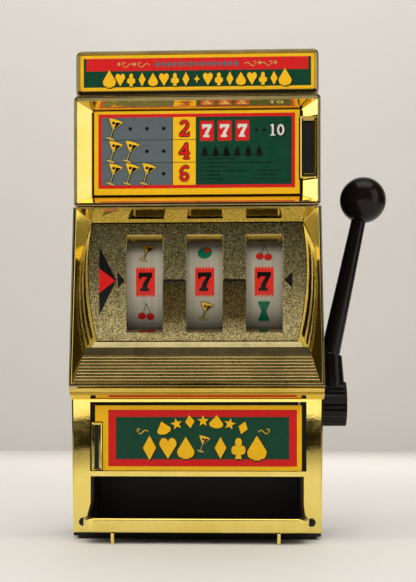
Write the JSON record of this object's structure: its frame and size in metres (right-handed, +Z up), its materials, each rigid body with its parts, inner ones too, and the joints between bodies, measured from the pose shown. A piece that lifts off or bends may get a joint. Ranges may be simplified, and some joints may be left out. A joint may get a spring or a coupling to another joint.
{
  "type": "slot machine",
  "caption": "Table-top novelty slot machine: gold plated front, black body, spinning reels behind windows, side arm, hinged printed panels and an open tray.",
  "frame": {"origin": "middle of the cabinet's width on the flat underside of the base plate, between its front face and its back", "axes": "+Z up, +X to the right as the player sees it, so the arm is on the +X side; the front faces -Y"},
  "size_m": [0.2354, 0.1567, 0.356],
  "materials": {
    "gold_chrome": "gold vacuum-plated plastic, mirror bright",
    "gold_glitter": "gold glitter texture",
    "black_plastic": "black moulded plastic, semi-gloss",
    "printed_card": "printed card, satin",
    "reel_paper": "printed reel strip, matt",
    "white_plastic": "moulded, natural white",
    "steel": "zinc-plated sheet and rod",
    "brass": "turned and pressed"
  },
  "bodies": {
    "cabinet": {"body_shell": "black_plastic", "base_plate": "black_plastic", "back_cover": "black_plastic", "marquee_frame": "gold_chrome", "marquee_card": "printed_card", "paytable_frame": "gold_chrome", "reel_surround": "gold_chrome", "reel_cover": "gold_glitter", "ribbed_ledge": "gold_chrome", "belt_moulding": "gold_chrome", "lower_front": "gold_chrome", "front_screw_left": "black_plastic", "front_screw_right": "black_plastic", "payout_tray": "black_plastic", "tray_lip": "gold_chrome", "tray_peg_left": "gold_chrome", "tray_peg_right": "gold_chrome", "upper_box": "black_plastic", "lower_box": "black_plastic", "paytable_hinge_pin": "steel", "jackpot_hinge_pin": "steel", "chassis_plate_left": "steel", "chassis_plate_right": "steel", "chassis_rod_front": "steel", "chassis_rod_rear": "steel", "reel_axle": "steel", "stop_lever_shaft": "steel", "arm_bushing": "brass", "arm_return_spring": "steel", "bell_gong": "brass", "bell_post": "steel"},
    "paytable_panel": {"paytable_door": "black_plastic", "paytable_card": "printed_card", "paytable_pull": "gold_chrome", "paytable_pull_insert": "black_plastic"},
    "jackpot_panel": {"jackpot_door": "black_plastic", "jackpot_card": "printed_card", "jackpot_pull": "gold_chrome", "jackpot_pull_insert": "black_plastic"},
    "arm": {"arm_shaft": "steel", "arm_kicker": "steel", "arm_hub": "black_plastic", "arm_lever": "black_plastic", "arm_knob": "black_plastic"},
    "hammer": {"bell_hammer": "steel"},
    "reel_1": {"reel_drum_1": "white_plastic", "reel_strip_1": "reel_paper", "index_wheel_1": "steel"},
    "stop_1": {"stop_lever_1": "steel"},
    "reel_2": {"reel_drum_2": "white_plastic", "reel_strip_2": "reel_paper", "index_wheel_2": "steel"},
    "stop_2": {"stop_lever_2": "steel"},
    "reel_3": {"reel_drum_3": "white_plastic", "reel_strip_3": "reel_paper", "index_wheel_3": "steel"},
    "stop_3": {"stop_lever_3": "steel"}
  },
  "joints": [
    {"name": "arm_pull", "type": "hinge", "parent": "cabinet", "child": "arm", "pos_m": [0, 0.015, 0.0984], "axis": [1, 0, 0], "range_deg": [0, 60], "stiffness_Nm_per_rad": 0.35, "springref_deg": -51.57},
    {"name": "paytable_panel_hinge", "type": "hinge", "parent": "cabinet", "child": "paytable_panel", "pos_m": [-0.072, -0.0448, 0.28], "axis": [0, 0, -1], "range_deg": [0, 105]},
    {"name": "jackpot_panel_hinge", "type": "hinge", "parent": "cabinet", "child": "jackpot_panel", "pos_m": [0.0742, -0.0484, 0.074], "axis": [0, 0, 1], "range_deg": [0, 105]},
    {"name": "hammer_swing", "type": "hinge", "parent": "cabinet", "child": "hammer", "pos_m": [0.004, 0.05, 0.051], "axis": [0, 0, 1], "range_deg": [0, 14], "stiffness_Nm_per_rad": 0.02, "springref_deg": -17.19},
    {"name": "reel_1_spin", "type": "hinge", "parent": "cabinet", "child": "reel_1", "pos_m": [0, 0.002, 0.188], "axis": [1, 0, 0], "continuous": true},
    {"name": "stop_1_lift", "type": "hinge", "parent": "cabinet", "child": "stop_1", "pos_m": [0, 0.052, 0.205], "axis": [1, 0, 0], "range_deg": [0, 12], "stiffness_Nm_per_rad": 0.02, "springref_deg": -17.19},
    {"name": "reel_2_spin", "type": "hinge", "parent": "cabinet", "child": "reel_2", "pos_m": [0, 0.002, 0.188], "axis": [1, 0, 0], "continuous": true},
    {"name": "stop_2_lift", "type": "hinge", "parent": "cabinet", "child": "stop_2", "pos_m": [0, 0.052, 0.205], "axis": [1, 0, 0], "range_deg": [0, 12], "stiffness_Nm_per_rad": 0.02, "springref_deg": -17.19},
    {"name": "reel_3_spin", "type": "hinge", "parent": "cabinet", "child": "reel_3", "pos_m": [0, 0.002, 0.188], "axis": [1, 0, 0], "continuous": true},
    {"name": "stop_3_lift", "type": "hinge", "parent": "cabinet", "child": "stop_3", "pos_m": [0, 0.052, 0.205], "axis": [1, 0, 0], "range_deg": [0, 12], "stiffness_Nm_per_rad": 0.02, "springref_deg": -17.19}
  ]
}
